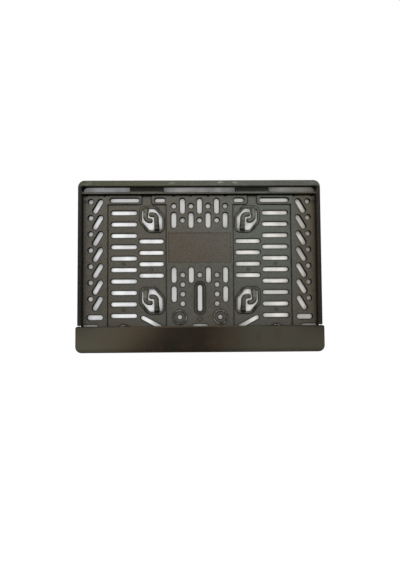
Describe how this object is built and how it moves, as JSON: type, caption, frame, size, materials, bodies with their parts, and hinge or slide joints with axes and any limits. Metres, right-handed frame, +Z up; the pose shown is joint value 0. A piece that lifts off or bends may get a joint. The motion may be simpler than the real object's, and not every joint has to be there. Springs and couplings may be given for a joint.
{
  "type": "number plate holder",
  "caption": "Motorcycle number plate holder: a perforated moulded tray with a top lip, sprung hook tongues and screw slots, closed below by a clipped strip.",
  "frame": {"origin": "on the flat back, behind the centre of the number plate", "axes": "+X across the plate to the viewer's right, +Z up as mounted, +Y backwards out of the back face"},
  "size_m": [0.254, 0.011, 0.1773],
  "materials": {
    "tray_plastic": "fine spark-eroded grain, matt black with a warm cast",
    "strip_plastic": "smooth satin black with faint handling marks"
  },
  "bodies": {
    "root": {"base_tray": "tray_plastic", "bottom_strip": "strip_plastic"}
  },
  "joints": []
}
